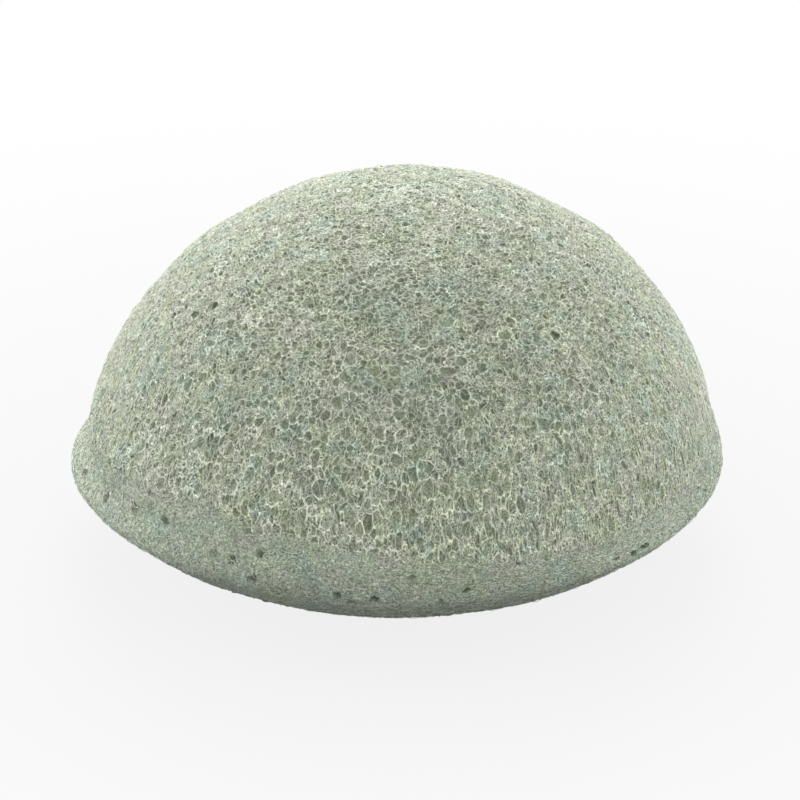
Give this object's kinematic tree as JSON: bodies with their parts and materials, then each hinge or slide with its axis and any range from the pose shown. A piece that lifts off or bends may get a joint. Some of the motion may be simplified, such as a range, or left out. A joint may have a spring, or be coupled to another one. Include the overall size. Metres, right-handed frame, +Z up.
{
  "type": "konjac sponge",
  "caption": "Half-ball konjac face sponge of open-celled moulded foam, with a coarse dome, a creased rim and a fine rounded base that it rests on.",
  "frame": {"origin": "centre of the flat underside that the sponge rests on", "axes": "+Z up through the top of the dome; X and Y lie in the resting plane, and the picture looks along +Y"},
  "size_m": [0.08, 0.08, 0.0467],
  "materials": {
    "coarse_foam": "moist open-celled foam, large irregular cells between pale threads",
    "rim_foam": "moist foam with closer, flattened cells along the parting line",
    "core_foam": "even, close-celled foam",
    "fine_foam": "moist foam with small, sparse cells in a smoother skin"
  },
  "bodies": {
    "root": {"dome_foam": "coarse_foam", "rim_lip": "rim_foam", "foam_core": "core_foam", "base_pad": "fine_foam"}
  },
  "joints": []
}
